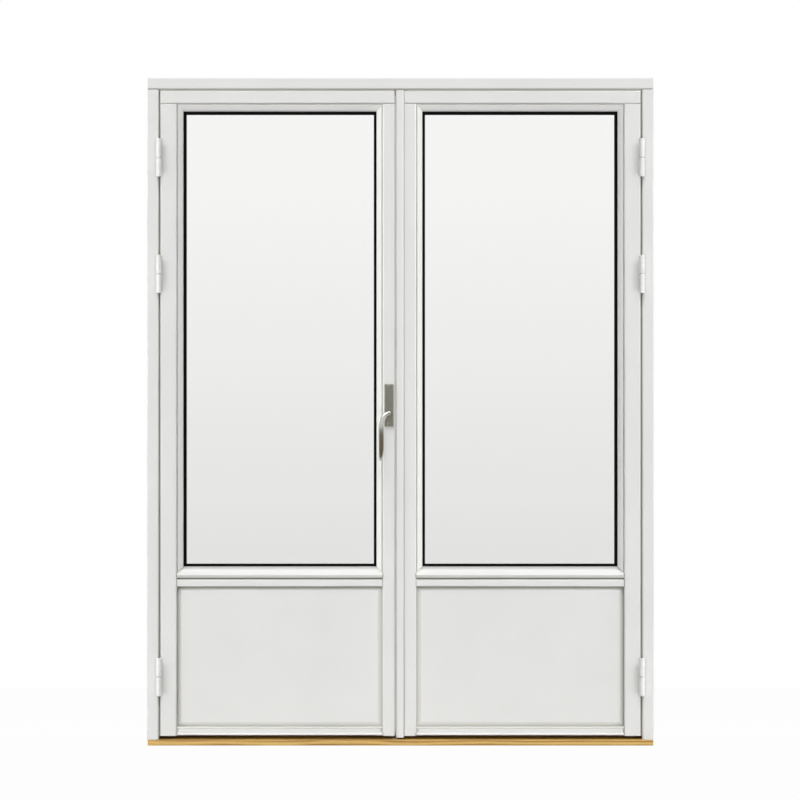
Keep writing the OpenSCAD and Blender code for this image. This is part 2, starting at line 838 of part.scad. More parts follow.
module bead_bottom(w) {
    x0 = glass_x0();
    x1 = glass_x1(w);
    mitred([
        [x0, rebate_z0], [x1, rebate_z0], [x1, sight_z0 - meet_bead_w], [x1 - meet_bead_w, sight_z0],
        [x0 + bead_w, sight_z0], [x0, sight_z0 - bead_w]
    ]) bar_x(x0, x1) bottom_bead_section();
}

function glass_low(w) = [glass_x0() + glass_clear, rebate_z0 + glass_clear];
function glass_high(w) = [glass_x1(w) - glass_clear, rebate_z1 - glass_clear];

module pane(w, y) {
    plate_y(y, y + pane_t) translate(glass_low(w)) square(glass_high(w) - glass_low(w));
}

module spacer(w) {
    s = [spacer_w, spacer_w];
    ring_y(
        outer_pane_y + pane_t, inner_pane_y, [glass_low(w), glass_high(w)],
        [glass_low(w) + s, glass_high(w) - s]
    );
}

// Gasket between glass and bead, or between glass and lip
module gasket(w, y) {
    low = [sight_x0() + gasket_show, sight_z0 + gasket_show_low];
    high = [sight_x1(w) - gasket_show_low, sight_z1 - gasket_show];
    ring_y(y, y + gasket_t, [glass_low(w), glass_high(w)], [low, high]);
}

module active_top_rail() {
    color(paint) difference() {
        on_active() top_rail(active_w, meet_bevel);
        translate([rod_bolt_x, leaf_mid_y, rebate_z1 - cut])
            cylinder(r = rod_bolt_r + rod_clear, h = top_rail_h + 2 * cut);
    }
}

module active_hinge_stile() {
    color(paint) on_active() hinge_stile();
}

// Meeting stile with its mortise, rod groove, bores and faceplate recess
module active_meeting_stile() {
    hole_len = leaf_t + 2 * cut;
    color(paint) difference() {
        on_active() meeting_stile(active_w, meet_bevel);
        box(
            [case_x0 - case_clear, leaf_mid_y - case_half_y - case_clear, case_z0 - case_clear],
            [active_edge + cut, leaf_mid_y + case_half_y + case_clear, case_z1 + case_clear]
        );
        box(
            [rod_x - rod_t / 2 - rod_clear, leaf_mid_y - rod_w / 2 - rod_clear, groove_z0],
            [active_edge + cut, leaf_mid_y + rod_w / 2 + rod_clear, groove_z1]
        );
        box(
            [faceplate_x, leaf_mid_y - faceplate_w / 2, leaf_z0 + faceplate_end],
            [active_edge + cut, leaf_mid_y + faceplate_w / 2, leaf_z1 - faceplate_end]
        );
        translate([rod_bolt_x, leaf_mid_y, leaf_z0 - cut])
            cylinder(r = rod_bolt_r + rod_clear, h = leaf_z1 - leaf_z0);
        translate([pivot_x, leaf_y0 - cut, handle_z]) rotate([-90, 0, 0]) cylinder(r = hub_r, h = hole_len);
        for (z = screw_zs) translate([pivot_x, leaf_y0 - cut, z]) rotate([-90, 0, 0])
            cylinder(r = plate_screw_r + hub_clear, h = hole_len);
    }
}

module active_mid_rail() {
    color(paint) on_active() mid_rail(active_w);
}

module active_bottom_rail() {
    color(paint) on_active() bottom_rail(active_w);
}

module active_panel() {
    color(paint) on_active() panel(active_w);
}

module active_bead_top() {
    color(paint) on_active() bead_top(active_w);
}

module active_bead_hinge() {
    color(paint) on_active() bead_hinge();
}

module active_bead_meeting() {
    color(paint) on_active() bead_meeting(active_w);
}

module active_bead_bottom() {
    color(paint) on_active() bead_bottom(active_w);
}

module active_outer_pane() {
    color("lightcyan", 0.4) on_active() pane(active_w, outer_pane_y);
}

module active_inner_pane() {
    color("lightcyan", 0.4) on_active() pane(active_w, inner_pane_y);
}

module active_spacer() {
    color(rubber) on_active() spacer(active_w);
}

module active_outer_gasket() {
    color("black") on_active() gasket(active_w, bead_back_y);
}

module active_inner_gasket() {
    color("black") on_active() gasket(active_w, lip_y - gasket_t);
}

module passive_top_rail() {
    color(paint) on_passive() top_rail(passive_w, 0);
}

module passive_hinge_stile() {
    color(paint) on_passive() hinge_stile();
}

module passive_meeting_stile() {
    color(paint) on_passive() meeting_stile(passive_w, 0);
}

module passive_mid_rail() {
    color(paint) on_passive() mid_rail(passive_w);
}

module passive_bottom_rail() {
    color(paint) on_passive() bottom_rail(passive_w);
}

module passive_panel() {
    color(paint) on_passive() panel(passive_w);
}

module passive_bead_top() {
    color(paint) on_passive() bead_top(passive_w);
}

module passive_bead_hinge() {
    color(paint) on_passive() bead_hinge();
}

module passive_bead_meeting() {
    color(paint) on_passive() bead_meeting(passive_w);
}

module passive_bead_bottom() {
    color(paint) on_passive() bead_bottom(passive_w);
}

module passive_outer_pane() {
    color("lightcyan", 0.4) on_passive() pane(passive_w, outer_pane_y);
}

module passive_inner_pane() {
    color("lightcyan", 0.4) on_passive() pane(passive_w, inner_pane_y);
}

module passive_spacer() {
    color(rubber) on_passive() spacer(passive_w);
}

module passive_outer_gasket() {
    color("black") on_passive() gasket(passive_w, bead_back_y);
}

module passive_inner_gasket() {
    color("black") on_passive() gasket(passive_w, lip_y - gasket_t);
}

// Handle

// Plate on a face at y = 0, standing out along -Y
module handle_plate() {
    ease = 1.5;
    corner = 3;
    difference() {
        translate([pivot_x - plate_w / 2, 0, plate_z0]) rotate([90, 0, 0]) hull() {
            linear_extrude(plate_t - ease) round_rect(plate_w, plate_h, corner);
            translate([ease, ease, 0]) linear_extrude(plate_t)
                round_rect(plate_w - 2 * ease, plate_h - 2 * ease, corner - ease);
        }
        translate([pivot_x, cut, handle_z]) rotate([90, 0, 0])
            cylinder(r = hub_r + hub_clear, h = plate_t + 2 * cut);
        for (z = screw_zs) translate([pivot_x, cut, z]) rotate([90, 0, 0])
            cylinder(r = plate_screw_r + spindle_fit, h = plate_t + 2 * cut);
    }
}

module outer_plate() {
    color(steel) translate([0, leaf_y0, 0]) handle_plate();
}

module inner_plate() {
    color(steel) translate([0, leaf_y1, 0]) mirror([0, 1, 0]) handle_plate();
}

// Screws through the leaf, with a low head on each plate
module plate_screws() {
    head_r = 2 * plate_screw_r;
    head_t = 1.5;
    y0 = leaf_y0 - plate_t;
    y1 = leaf_y1 + plate_t;
    color(steel) for (z = screw_zs) translate([pivot_x, 0, z]) rotate([-90, 0, 0]) {
        translate([0, 0, y0 - head_t / 2]) cylinder(r = plate_screw_r, h = y1 - y0 + head_t);
        translate([0, 0, y0 - head_t]) cylinder(r1 = head_r - 1, r2 = head_r, h = head_t);
        translate([0, 0, y1]) cylinder(r1 = head_r, r2 = head_r - 1, h = head_t);
    }
}

// Flattened ball of the lever's grip
module grip_ball(x, out, z, r) {
    translate([pivot_x - x, -out, handle_z - z]) scale([1, grip_flat, 1]) sphere(r, $fn = 32);
}

// Cranked lever on a face at y = 0: hub, swept neck, flat grip and tapering end
module lever(out) {
    grip_r = grip_w / 2;
    tip_x = grip_offset + grip_r - grip_tip_r;
    difference() {
        union() {
            translate([pivot_x, -1, handle_z]) rotate([90, 0, 0]) cylinder(r = hub_r, h = out - 1);
            hull() {
                translate([pivot_x, -out, handle_z]) sphere(hub_r, $fn = 32);
                grip_ball(grip_offset * 0.6, out, elbow_drop * 0.4, hub_r);
            }
            hull() {
                grip_ball(grip_offset * 0.6, out, elbow_drop * 0.4, hub_r);
                grip_ball(grip_offset, out, elbow_drop, grip_r);
            }
            hull() {
                grip_ball(grip_offset, out, elbow_drop, grip_r);
                grip_ball(grip_offset, out, grip_reach - grip_taper, grip_r);
            }
            hull() {
                grip_ball(grip_offset, out, grip_reach - grip_taper, grip_r);
                grip_ball(tip_x, out, grip_reach - grip_tip_r, grip_tip_r);
            }
        }
        spindle_bar(spindle_s + 2 * spindle_fit, -spindle_reach(out), cut);
    }
}

function spindle_reach(out) = out - hub_r;

module spindle_bar(s, y0, y1) {
    box([pivot_x - s / 2, y0, handle_z - s / 2], [pivot_x + s / 2, y1, handle_z + s / 2]);
}

module outer_lever() {
    color(steel) translate([0, leaf_y0, 0]) lever(grip_out);
}

module inner_lever() {
    color(steel) translate([0, leaf_y1, 0]) mirror([0, 1, 0]) lever(grip_in);
}

module spindle() {
    color("gray") spindle_bar(spindle_s, leaf_y0 - spindle_reach(grip_out), leaf_y1 + spindle_reach(grip_in));
}

// Lock

// Half angle of a pinion tooth at a radius, from the involute of its base circle
function roll(r) = let (a = acos(min(1, gear_base_r / r))) tan(a) * 180 / PI - a;
function tooth_half(r) = 90 / gear_teeth - tooth_play / 2 / gear_r * 180 / PI + roll(gear_r) - roll(r);
function polar(r, a) = [r * cos(a), r * sin(a)];
function flank_r(i) = gear_base_r + (gear_tip_r - gear_base_r) * i / 5;

module pinion_outline() {
    polygon([
        for (t = [0:gear_teeth - 1]) let (a = t * 360 / gear_teeth) each concat(
            [polar(gear_root_r, a - tooth_half(gear_base_r))],
            [for (i = [0:5]) polar(flank_r(i), a - tooth_half(flank_r(i)))],
            [for (i = [5:-1:0]) polar(flank_r(i), a + tooth_half(flank_r(i)))],
            [polar(gear_root_r, a + tooth_half(gear_base_r))]
        )
    ]);
}

module pinion() {
    color("gray") difference() {
        translate([pivot_x, 0, handle_z]) plate_y(leaf_mid_y - gear_w / 2, leaf_mid_y + gear_w / 2) pinion_outline();
        spindle_bar(spindle_s + 2 * spindle_fit, leaf_y0, leaf_y1);
    }
}

// Toothed bar: teeth towards -X about z = 0, back of the bar at x = rack_ded + rod_t from the pitch line
module rack(z0, z1) {
    tip = (rack_pitch / 2 - tooth_play) / 2 - rack_add * tan(pressure_angle);
    root = (rack_pitch / 2 - tooth_play) / 2 + rack_ded * tan(pressure_angle);
    first = ceil((z0 + root) / rack_pitch - 0.5);
    last = floor((z1 - root) / rack_pitch - 0.5);
    plate_y(leaf_mid_y - rod_w / 2, leaf_mid_y + rod_w / 2) polygon(concat(
        [[rack_ded + rod_t, z0], [rack_ded + rod_t, z1], [rack_ded, z1]],
        [
            for (i = [last:-1:first]) let (z = (i + 0.5) * rack_pitch)
                each [[rack_ded, z + root], [-rack_add, z + tip], [-rack_add, z - tip], [rack_ded, z - root]]
        ],
        [[rack_ded, z0]]
    ));
}

module rod_box(x0, x1, z0, z1) {
    box([x0, leaf_mid_y - rod_w / 2, z0], [x1, leaf_mid_y + rod_w / 2, z1]);
}

// Upper rod: rack on the hinge side of the pinion, crank over it, bar and round bolt end
module upper_rod() {
    bar_x0 = rod_x - rod_t / 2;
    bar_x1 = rod_x + rod_t / 2;
    bar_top = groove_z1 - rod_bar_end;
    color("gray") union() {
        translate([pivot_x - gear_r, 0, handle_z]) mirror([1, 0, 0]) rack(-rack_half - 4, rack_half);
        rod_box(rack_left_x - rod_t / 2, rack_left_x + rod_t / 2, handle_z + rack_half - cut, jog_z + jog_h);
        rod_box(rack_left_x - rod_t / 2, bar_x1, jog_z, jog_z + jog_h);
        rod_box(bar_x0, bar_x1, jog_z, bar_top);
        translate([rod_bolt_x, leaf_mid_y, bar_top - cut])
            cylinder(r = rod_bolt_r, h = leaf_z1 + rod_out - bar_top + cut);
    }
}

// Lower rod: rack on the edge side of the pinion, bar and round bolt end
module lower_rod() {
    bar_low = groove_z0 + rod_bar_end;
    color("gray") union() {
        translate([pivot_x + gear_r, 0, handle_z]) rack(-rack_half, rack_half + 4);
        rod_box(rod_x - rod_t / 2, rod_x + rod_t / 2, bar_low, handle_z - rack_half + cut);
        translate([rod_bolt_x, leaf_mid_y, leaf_z0 - rod_low_out])
            cylinder(r = rod_bolt_r, h = bar_low - leaf_z0 + rod_low_out + cut);
    }
}

// Open box behind the faceplate, with a bearing hole on each side and slots for the rods
module lock_case() {
    y0 = leaf_mid_y - case_half_y;
    y1 = leaf_mid_y + case_half_y;
    w = [case_wall, case_wall, case_wall];
    color(steel) difference() {
        box([case_x0, y0, case_z0], [faceplate_x, y1, case_z1]);
        box([case_x0, y0, case_z0] + w, [faceplate_x + case_wall + cut, y1, case_z1] - w);
        box(
            [rod_x - rod_t / 2 - rod_clear, leaf_mid_y - rod_w / 2 - rod_clear, case_z0 - cut],
            [faceplate_x + cut, leaf_mid_y + rod_w / 2 + rod_clear, case_z1 + cut]
        );
        translate([pivot_x, y0 - cut, handle_z]) rotate([-90, 0, 0])
            cylinder(r = spindle_s * 0.75, h = 2 * case_half_y + 2 * cut);
    }
}

module edge_faceplate() {
    color(steel) box(
        [faceplate_x, leaf_mid_y - faceplate_w / 2, leaf_z0 + faceplate_end],
        [faceplate_out, leaf_mid_y + faceplate_w / 2, leaf_z1 - faceplate_end]
    );
}

// Astragal and flush bolts

// Slot of a finger tab, at the tab's lower position z and its travel
module tab_slot(x0, x1, z) {
    half = tab_w / 2 + bolt_clear;
    box(
        [x0, leaf_mid_y - half, z - bolt_clear],
        [x1, leaf_mid_y + half, z + tab_h + bolt_throw + bolt_clear]
    );
}

module bolt_plate_box(z) {
    box(
        [bolt_plate_x, leaf_mid_y - bolt_plate_w / 2, z - bolt_plate_over],
        [bolt_plate_x + bolt_plate_t, leaf_mid_y + bolt_plate_w / 2, z + tab_h + bolt_throw + bolt_plate_over]
    );
}

module astragal() {
    top = leaf_z1 + astragal_rise;
    bore_r = bolt_r + bolt_clear;
    color(paint) difference() {
        intersection() {
            linear_extrude(top) difference() {
                polygon([
                    [astragal_x0, leaf_y0], [passive_edge, leaf_y0], [passive_edge, leaf_y1],
                    [astragal_x0 + meet_bevel, leaf_y1]
                ]);
                translate([astragal_x0, leaf_y0]) corner_cut(astragal_round);
                translate([passive_edge, leaf_y0]) mirror([1, 0]) corner_cut(astragal_round);
            }
            bar_x(astragal_x0, passive_edge) polygon([
                [leaf_y0, astragal_low(leaf_y0)], [leaf_y1, astragal_low(leaf_y1)], [leaf_y1, top], [leaf_y0, top]
            ]);
        }
        for (z = [top_tab_z, low_tab_z]) {
            tab_slot(astragal_x0 - cut, bolt_x, z);
            translate([-meet_bevel, 0, 0]) bolt_plate_box(z);
            bolt_plate_box(z);
        }
        translate([bolt_x, leaf_mid_y, top_tab_z - bolt_clear])
            cylinder(r = bore_r, h = top - top_tab_z + 2 * cut);
        translate([bolt_x, leaf_mid_y, 0])
            cylinder(r = bore_r, h = low_tab_z + tab_h + bolt_throw + bolt_clear);
    }
}

// Strip glued in the meeting gap, against the bevelled edge
module astragal_seal() {
    y0 = leaf_y0 + strip_set;
    y1 = y0 + strip_w;
    x0 = astragal_x0 + meet_bevel * strip_set / leaf_t;
    x1 = astragal_x0 + meet_bevel * (strip_set + strip_w) / leaf_t;
    low = astragal_low(leaf_y1);
    color("white") translate([0, 0, low]) linear_extrude(leaf_z1 - low)
        polygon([[x0, y0], [x1, y1], [x1 - strip_t, y1], [x0 - strip_t, y0]]);
}

module bolt_plates() {
    color(steel) for (z = [top_tab_z, low_tab_z]) difference() {
        bolt_plate_box(z);
        tab_slot(astragal_x0 - cut, bolt_x, z);
    }
}

// Round bolt with a finger tab that reaches into its edge plate
module flush_bolt(z0, tab_z) {
    translate([bolt_x, leaf_mid_y, z0]) cylinder(r = bolt_r, h = bolt_len);
    box([bolt_plate_x + tab_inset, leaf_mid_y - tab_w / 2, tab_z], [bolt_x, leaf_mid_y + tab_w / 2, tab_z + tab_h]);
}

module top_flush_bolt() {
    color(steel) flush_bolt(top_tab_z, top_tab_z);
}

module bottom_flush_bolt() {
    color(steel) flush_bolt(bolt_low_z, low_tab_z + bolt_throw);
}

frame_head();
left_jamb();
right_jamb();
oak_sill();
frame_seal();
gap_seals();
head_strikes();
sill_strikes();
left_frame_hinges();
right_frame_hinges();
left_hinge_pins();
right_hinge_pins();
active_top_rail();
active_hinge_stile();
active_meeting_stile();
active_mid_rail();
active_bottom_rail();
active_panel();
active_bead_top();
active_bead_hinge();
active_bead_meeting();
active_bead_bottom();
active_outer_pane();
active_inner_pane();
active_spacer();
active_outer_gasket();
active_inner_gasket();
active_hinges();
outer_plate();
inner_plate();
plate_screws();
lock_case();
edge_faceplate();
outer_lever();
inner_lever();
spindle();
pinion();
upper_rod();
lower_rod();
passive_top_rail();
passive_hinge_stile();
passive_meeting_stile();
passive_mid_rail();
passive_bottom_rail();
passive_panel();
passive_bead_top();
passive_bead_hinge();
passive_bead_meeting();
passive_bead_bottom();
passive_outer_pane();
passive_inner_pane();
passive_spacer();
passive_outer_gasket();
passive_inner_gasket();
passive_hinges();
astragal();
astragal_seal();
bolt_plates();
top_flush_bolt();
bottom_flush_bolt();
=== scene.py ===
import json
import math

import bmesh
import bpy
from mathutils import Matrix, Vector

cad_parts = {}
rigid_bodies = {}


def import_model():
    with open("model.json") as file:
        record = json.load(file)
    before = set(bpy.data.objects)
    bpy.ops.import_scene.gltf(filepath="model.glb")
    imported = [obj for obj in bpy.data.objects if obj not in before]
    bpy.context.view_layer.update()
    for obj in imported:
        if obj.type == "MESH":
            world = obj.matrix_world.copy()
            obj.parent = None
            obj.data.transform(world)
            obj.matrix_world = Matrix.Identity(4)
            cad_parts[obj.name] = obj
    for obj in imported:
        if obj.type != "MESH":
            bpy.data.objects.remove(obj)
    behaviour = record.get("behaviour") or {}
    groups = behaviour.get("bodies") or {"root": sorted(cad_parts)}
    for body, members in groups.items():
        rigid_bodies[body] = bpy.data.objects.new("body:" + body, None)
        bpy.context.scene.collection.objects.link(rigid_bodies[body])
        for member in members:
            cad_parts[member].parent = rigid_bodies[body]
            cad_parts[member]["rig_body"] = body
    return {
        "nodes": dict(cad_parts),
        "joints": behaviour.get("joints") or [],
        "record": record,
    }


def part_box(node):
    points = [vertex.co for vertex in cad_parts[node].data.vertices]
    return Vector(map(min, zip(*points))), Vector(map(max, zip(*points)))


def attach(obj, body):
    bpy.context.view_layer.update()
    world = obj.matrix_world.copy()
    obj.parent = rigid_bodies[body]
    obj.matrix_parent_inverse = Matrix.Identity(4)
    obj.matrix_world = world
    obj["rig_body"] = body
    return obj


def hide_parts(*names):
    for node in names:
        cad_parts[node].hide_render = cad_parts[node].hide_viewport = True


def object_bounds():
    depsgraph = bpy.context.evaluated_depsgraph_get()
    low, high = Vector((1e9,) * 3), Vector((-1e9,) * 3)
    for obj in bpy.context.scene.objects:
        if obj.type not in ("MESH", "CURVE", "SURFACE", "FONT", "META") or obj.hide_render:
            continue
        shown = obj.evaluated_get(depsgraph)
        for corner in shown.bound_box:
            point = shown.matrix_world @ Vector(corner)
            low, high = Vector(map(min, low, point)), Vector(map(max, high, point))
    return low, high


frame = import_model()
nodes = frame["nodes"]
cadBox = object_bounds()
scene = bpy.context.scene
scene.view_settings.view_transform = "Standard"
print("frame loaded:", len(nodes), "nodes")


# camera, floor and light

shot = {"lens": 1000, "sensor": 36, "width": 2.4905, "x": -0.0015, "z": 1.0764, "clip": (1, 300)}


def makeCamera():
    data = bpy.data.cameras.new("photoCamera")
    data.lens = shot["lens"]
    data.sensor_width = shot["sensor"]
    reach = shot["width"] / 2 / (shot["sensor"] / 2 / shot["lens"])
    data.clip_start, data.clip_end = shot["clip"]
    cam = bpy.data.objects.new("photoCamera", data)
    cam.location = (shot["x"], cadBox[0].y - reach, shot["z"])
    cam.rotation_euler = (math.pi / 2, 0, 0)
    scene.collection.objects.link(cam)
    scene.camera = cam


def link(tree, a, b):
    tree.links.new(a, b)


def grey(v, warm=0.0):
    return (v, v * (1 - warm * 0.1), v * (1 - warm), 1)


def toneRamp(tree, value, stops):
    ramp = tree.nodes.new("ShaderNodeValToRGB")
    ramp.color_ramp.elements[0].position = stops[0][0]
    ramp.color_ramp.elements[0].color = stops[0][1]
    ramp.color_ramp.elements[1].position = stops[-1][0]
    ramp.color_ramp.elements[1].color = stops[-1][1]
    for at, colour in stops[1:-1]:
        ramp.color_ramp.elements.new(at).color = colour
    link(tree, value, ramp.inputs[0])
    return ramp.outputs[0]


def larger(tree, a, b):
    most = tree.nodes.new("ShaderNodeMath")
    most.operation = "MAXIMUM"
    link(tree, a, most.inputs[0])
    link(tree, b, most.inputs[1])
    return most.outputs[0]


def seenRays(tree):  # 1 for what the eye, a mirror or a pane sees
    path = tree.nodes.new("ShaderNodeLightPath")
    first = larger(tree, path.outputs["Is Camera Ray"], path.outputs["Is Glossy Ray"])
    return larger(tree, first, path.outputs["Is Transmission Ray"])


def mixShaders(tree, share, one, two, out):
    mix = tree.nodes.new("ShaderNodeMixShader")
    link(tree, share, mix.inputs[0])
    link(tree, one.outputs[0], mix.inputs[1])
    link(tree, two.outputs[0], mix.inputs[2])
    link(tree, mix.outputs[0], out.inputs["Surface"])


def heightSpan(tree, low, high):  # 0 to 1 between two heights
    coord = tree.nodes.new("ShaderNodeTexCoord")
    split = tree.nodes.new("ShaderNodeSeparateXYZ")
    link(tree, coord.outputs["Object"], split.inputs[0])
    span = tree.nodes.new("ShaderNodeMapRange")
    span.inputs["From Min"].default_value = low
    span.inputs["From Max"].default_value = high
    link(tree, split.outputs["Z"], span.inputs["Value"])
    return span


studio = {
    "worldLight": 0.352,
    "side": {"from": (0.83, -0.5, 0.25), "angle": 28, "strength": 1.75},
    "back": {"at": (0, 4.2, 3.6), "aim": (0, 0, 1.0), "size": (3.0, 3.0), "power": 80},
    "sun": {"from": (0, -0.60, 0.80), "angle": 34, "strength": 1.47},
    "floor": {"half": 14, "below": 0.0005, "colour": (0.58, 0.58, 0.57, 1), "white": 0.97},
    "drape": {
        "y": -6.0, "wide": 12.0, "high": 8.0, "foot": -3.0,
        "low": 0.22, "mid": 0.28, "midAt": 1.05, "top": 1.0, "topAt": 2.3, "warm": 0.1,
    },
    "bench": {"y": -5.8, "wide": 2.2, "high": 2.6, "foot": -1.9, "colour": (0.17, 0.105, 0.03, 1)},
}


def makeWorld():
    world = bpy.data.worlds.new("studioWorld")
    world.use_nodes = True
    scene.world = world
    tree = world.node_tree
    tree.nodes.clear()
    out = tree.nodes.new("ShaderNodeOutputWorld")
    light = tree.nodes.new("ShaderNodeBackground")
    light.inputs["Color"].default_value = (1, 1, 1, 1)
    light.inputs["Strength"].default_value = studio["worldLight"]
    white = tree.nodes.new("ShaderNodeBackground")
    white.inputs["Color"].default_value = (1, 1, 1, 1)
    white.inputs["Strength"].default_value = 1
    mixShaders(tree, seenRays(tree), light, white, out)


def makeFloor():  # white to the eye, apart from the object's shadow
    look = studio["floor"]
    bm = bmesh.new()
    bmesh.ops.create_grid(bm, x_segments=1, y_segments=1, size=look["half"])
    mesh = bpy.data.meshes.new("floor")
    bm.to_mesh(mesh)
    bm.free()
    floor = bpy.data.objects.new("floor", mesh)
    floor.location = (0, 0, cadBox[0].z - look["below"])
    scene.collection.objects.link(floor)
    floor.visible_glossy = False
    mat = bpy.data.materials.new("paleFloor")
    mat.use_nodes = True
    tree = mat.node_tree
    tree.nodes.clear()
    out = tree.nodes.new("ShaderNodeOutputMaterial")
    matt = tree.nodes.new("ShaderNodeBsdfDiffuse")
    matt.inputs["Color"].default_value = look["colour"]
    white = tree.nodes.new("ShaderNodeEmission")
    white.inputs["Strength"].default_value = 1
    share = tree.nodes.new("ShaderNodeMath")
    share.operation = "MULTIPLY"
    share.inputs[1].default_value = look["white"]
    path = tree.nodes.new("ShaderNodeLightPath")
    seen = larger(tree, path.outputs["Is Camera Ray"], path.outputs["Is Transmission Ray"])
    link(tree, seen, share.inputs[0])
    mixShaders(tree, share.outputs[0], matt, white, out)
    mesh.materials.append(mat)


def makeLamp(name, lamp):
    data = bpy.data.lights.new(name, "AREA")
    data.shape = "RECTANGLE"
    data.size, data.size_y = lamp["size"]
    data.energy = lamp["power"]
    obj = bpy.data.objects.new(name, data)
    obj.location = lamp["at"]
    obj.rotation_euler = (Vector(lamp["aim"]) - obj.location).to_track_quat("-Z", "Y").to_euler()
    scene.collection.objects.link(obj)


def makeSun(name, lamp, casters, way=1, share=1, lit=None):  # broad even light, from the left when way is -1
    data = bpy.data.lights.new(name, "SUN")
    data.angle = math.radians(lamp["angle"])
    data.energy = lamp["strength"] * share
    obj = bpy.data.objects.new(name, data)
    x, y, z = lamp["from"]
    obj.rotation_euler = Vector((-way * x, -y, -z)).to_track_quat("-Z", "Y").to_euler()
    scene.collection.objects.link(obj)
    obj.light_linking.blocker_collection = casters
    if lit:
        obj.light_linking.receiver_collection = lit


def makeDrape(name, look):  # hung opposite the doors, met only by mirror rays
    bm = bmesh.new()
    bmesh.ops.create_grid(bm, x_segments=1, y_segments=1, size=0.5)
    bmesh.ops.scale(bm, vec=(look["wide"], look["high"], 1), verts=bm.verts)
    bmesh.ops.rotate(bm, cent=(0, 0, 0), matrix=Matrix.Rotation(math.pi / 2, 3, "X"), verts=bm.verts)
    bmesh.ops.translate(bm, vec=(0, look["y"], look["high"] / 2 + look["foot"]), verts=bm.verts)
    mesh = bpy.data.meshes.new(name)
    bm.to_mesh(mesh)
    bm.free()
    card = bpy.data.objects.new(name, mesh)
    scene.collection.objects.link(card)
    card.visible_camera = False
    card.visible_diffuse = False
    card.visible_transmission = False
    card.visible_shadow = False
    mat = bpy.data.materials.new(name + "Glow")
    mat.use_nodes = True
    tree = mat.node_tree
    tree.nodes.clear()
    out = tree.nodes.new("ShaderNodeOutputMaterial")
    glow = tree.nodes.new("ShaderNodeEmission")
    link(tree, glow.outputs[0], out.inputs["Surface"])
    mesh.materials.append(mat)
    if "colour" in look:
        glow.inputs["Color"].default_value = look["colour"]
        return
    span = heightSpan(tree, 0, look["topAt"])
    stops = [
        (0.0, grey(look["low"], look["warm"])),
        (look["midAt"] / look["topAt"], grey(look["mid"], look["warm"])),
        (1.0, grey(look["top"])),
    ]
    link(tree, toneRamp(tree, span.outputs[0], stops), glow.inputs["Color"])


makeCamera()
makeWorld()
makeFloor()
makeDrape("drape", studio["drape"])
makeDrape("bench", studio["bench"])
makeLamp("backLamp", studio["back"])
sets = {name: bpy.data.collections.new(name + "Set") for name in ("left", "right", "both", "sky", "side")}
makeSun("skyLamp", studio["sun"], sets["sky"])
makeSun("leftLamp", studio["side"], sets["side"], way=-1, lit=sets["left"])
makeSun("rightLamp", studio["side"], sets["side"], lit=sets["right"])
makeSun("leftWideLamp", studio["side"], sets["side"], way=-1, share=0.5, lit=sets["both"])
makeSun("rightWideLamp", studio["side"], sets["side"], share=0.5, lit=sets["both"])
softHandle = ("outer_plate", "outer_lever", "outerLeverForm")  # these throw no lamp shadow on the leaf


# a leaf and its jamb have the side lamp of their half, the rest of the frame half of both, the levers none
def lightUp(obj, body):
    if obj.name not in softHandle:
        sets["sky"].objects.link(obj)
        if "hinges" not in obj.name:
            sets["side"].objects.link(obj)
    if "lever" in obj.name.lower():
        return
    if body in ("active_leaf", "handle", "upper_rod", "lower_rod") or "left" in obj.name:
        sets["left"].objects.link(obj)
    elif body in ("passive_leaf", "top_bolt", "bottom_bolt") or "right" in obj.name:
        sets["right"].objects.link(obj)
    else:
        sets["both"].objects.link(obj)


print("camera, floor and lamps ready")


# shared finish effects

def newGroup(name, inputs, outputs):
    tree = bpy.data.node_groups.new(name, "ShaderNodeTree")
    for label, kind, value in inputs:
        sock = tree.interface.new_socket(label, in_out="INPUT", socket_type=kind)
        if value is not None:
            sock.default_value = value
    for label, kind in outputs:
        tree.interface.new_socket(label, in_out="OUTPUT", socket_type=kind)
    return tree, tree.nodes.new("NodeGroupInput"), tree.nodes.new("NodeGroupOutput")


def brushGrainGroup():  # long streaks that a brush or the wood leaves, along local X
    tree, gin, gout = newGroup(
        "brushGrain",
        [
            ("Vector", "NodeSocketVector", None),
            ("Fine", "NodeSocketFloat", 900.0),
            ("Stretch", "NodeSocketFloat", 0.02),
        ],
        [("Streak", "NodeSocketFloat"), ("Cloud", "NodeSocketFloat")],
    )
    stretch = tree.nodes.new("ShaderNodeCombineXYZ")
    stretch.inputs[1].default_value = 1
    stretch.inputs[2].default_value = 1
    link(tree, gin.outputs["Stretch"], stretch.inputs[0])
    squeeze = tree.nodes.new("ShaderNodeVectorMath")
    squeeze.operation = "MULTIPLY"
    link(tree, gin.outputs["Vector"], squeeze.inputs[0])
    link(tree, stretch.outputs[0], squeeze.inputs[1])
    streak = tree.nodes.new("ShaderNodeTexNoise")
    streak.inputs["Detail"].default_value = 3
    streak.inputs["Roughness"].default_value = 0.6
    link(tree, squeeze.outputs[0], streak.inputs["Vector"])
    link(tree, gin.outputs["Fine"], streak.inputs["Scale"])
    cloud = tree.nodes.new("ShaderNodeTexNoise")
    cloud.inputs["Scale"].default_value = 6
    cloud.inputs["Detail"].default_value = 4
    link(tree, gin.outputs["Vector"], cloud.inputs["Vector"])
    link(tree, streak.outputs["Fac"], gout.inputs["Streak"])
    link(tree, cloud.outputs["Fac"], gout.inputs["Cloud"])
    return tree


brushGrain = brushGrainGroup()


def newMaterial(name):
    mat = bpy.data.materials.new(name)
    mat.use_nodes = True
    tree = mat.node_tree
    return mat, tree, tree.nodes["Principled BSDF"]


def objectVector(tree, turn=(0, 0, 0)):
    coord = tree.nodes.new("ShaderNodeTexCoord")
    place = tree.nodes.new("ShaderNodeMapping")
    place.inputs["Rotation"].default_value = turn
    link(tree, coord.outputs["Object"], place.inputs["Vector"])
    return place.outputs[0]


